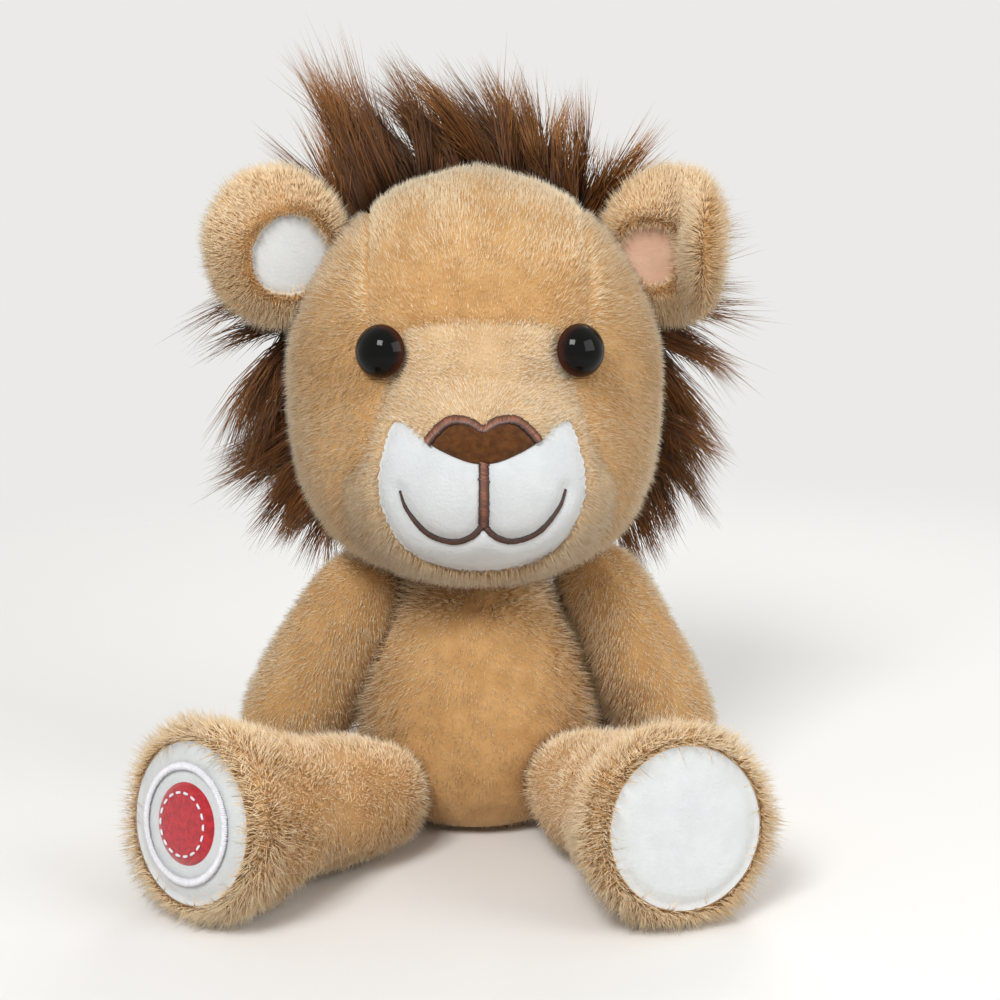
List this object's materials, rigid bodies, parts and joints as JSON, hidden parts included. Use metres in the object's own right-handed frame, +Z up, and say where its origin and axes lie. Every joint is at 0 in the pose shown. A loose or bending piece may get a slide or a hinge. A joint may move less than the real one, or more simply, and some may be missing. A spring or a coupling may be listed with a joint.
{
  "type": "plush lion",
  "caption": "Sitting soft-toy lion with a round head, swelling muzzle, shaggy mane, round ears, stuffed arms and legs that swing at their seams, and a tufted tail",
  "frame": {"origin": "middle of the flat seat that the lion sits on", "axes": "+Z up, the lion faces -Y, its own left side is +X"},
  "size_m": [0.1404, 0.1634, 0.1838],
  "materials": {
    "tan_plush": "short-pile tan plush, soft sheen",
    "pale_snout": "short-pile pale plush with light tips",
    "white_velour": "white velour",
    "pink_velour": "pale pink velour",
    "mane_brown": "long shaggy reddish-brown pile",
    "nose_felt": "brown felt",
    "brown_thread": "satin embroidery thread",
    "tan_thread": "sewing thread",
    "white_thread": "satin embroidery thread",
    "red_print": "red velour disc",
    "black_plastic": "glossy black",
    "washer_plastic": "natural nylon",
    "stuffing": "loose polyester fibre"
  },
  "bodies": {
    "torso": {"body_front_panel": "tan_plush", "body_back_panel_left": "tan_plush", "body_back_panel_right": "tan_plush", "closing_seam_thread": "tan_thread", "body_stuffing": "stuffing"},
    "neck": {"neck_ring_thread": "tan_thread"},
    "head": {"eye_left": "black_plastic", "eye_left_washer": "washer_plastic", "eye_right": "black_plastic", "eye_right_washer": "washer_plastic", "forehead_panel": "tan_plush", "cheek_panel_left": "tan_plush", "cheek_panel_right": "tan_plush", "snout_panel": "pale_snout", "muzzle_patch": "white_velour", "head_stuffing": "stuffing", "nose_felt": "nose_felt", "nose_border_stitch": "brown_thread", "mouth_stitch": "brown_thread", "mane_crown": "mane_brown", "mane_left": "mane_brown", "mane_right": "mane_brown", "mane_nape": "mane_brown", "ear_left_front": "tan_plush", "ear_left_patch": "pink_velour", "ear_left_back": "tan_plush", "ear_right_front": "tan_plush", "ear_right_patch": "white_velour", "ear_right_back": "tan_plush"},
    "arm_left": {"arm_left_front_panel": "tan_plush", "arm_left_back_panel": "tan_plush", "arm_left_stuffing": "stuffing"},
    "arm_right": {"arm_right_front_panel": "tan_plush", "arm_right_back_panel": "tan_plush", "arm_right_stuffing": "stuffing"},
    "leg_left": {"leg_left_outer_panel": "tan_plush", "leg_left_inner_panel": "tan_plush", "leg_left_sole": "white_velour", "leg_left_stuffing": "stuffing"},
    "leg_right": {"leg_right_outer_panel": "tan_plush", "leg_right_inner_panel": "tan_plush", "leg_right_sole": "white_velour", "leg_right_stuffing": "stuffing", "sole_patch": "red_print", "sole_ring_stitch": "white_thread"},
    "tail": {"tail_cloth": "tan_plush", "tail_tuft": "mane_brown"}
  },
  "joints": [
    {"name": "head_turn", "type": "hinge", "parent": "torso", "child": "neck", "pos_m": [0, 0, 0.06], "axis": [0, 0, 1], "range_deg": [-20, 20], "stiffness_Nm_per_rad": 0.5},
    {"name": "head_nod", "type": "hinge", "parent": "neck", "child": "head", "pos_m": [0, 0, 0.06], "axis": [1, 0, 0], "range_deg": [-8, 6], "stiffness_Nm_per_rad": 2},
    {"name": "arm_left_raise", "type": "hinge", "parent": "torso", "child": "arm_left", "pos_m": [0.0306, 0.001, 0.054], "axis": [0, -1, 0], "range_deg": [0, 45]},
    {"name": "arm_right_raise", "type": "hinge", "parent": "torso", "child": "arm_right", "pos_m": [-0.0285, -0.001, 0.052], "axis": [0, 1, 0], "range_deg": [0, 45]},
    {"name": "leg_left_swing", "type": "hinge", "parent": "torso", "child": "leg_left", "pos_m": [0.0245, -0.024, 0.0134], "axis": [-0.9336, -0.3584, 0], "range_deg": [-55, 20]},
    {"name": "leg_right_swing", "type": "hinge", "parent": "torso", "child": "leg_right", "pos_m": [-0.023, -0.03, 0.0134], "axis": [-0.766, 0.6428, 0], "range_deg": [-55, 20]},
    {"name": "tail_swing", "type": "hinge", "parent": "torso", "child": "tail", "pos_m": [0, 0.03037, 0.012], "axis": [0, 0, 1], "range_deg": [-30, 30]}
  ]
}
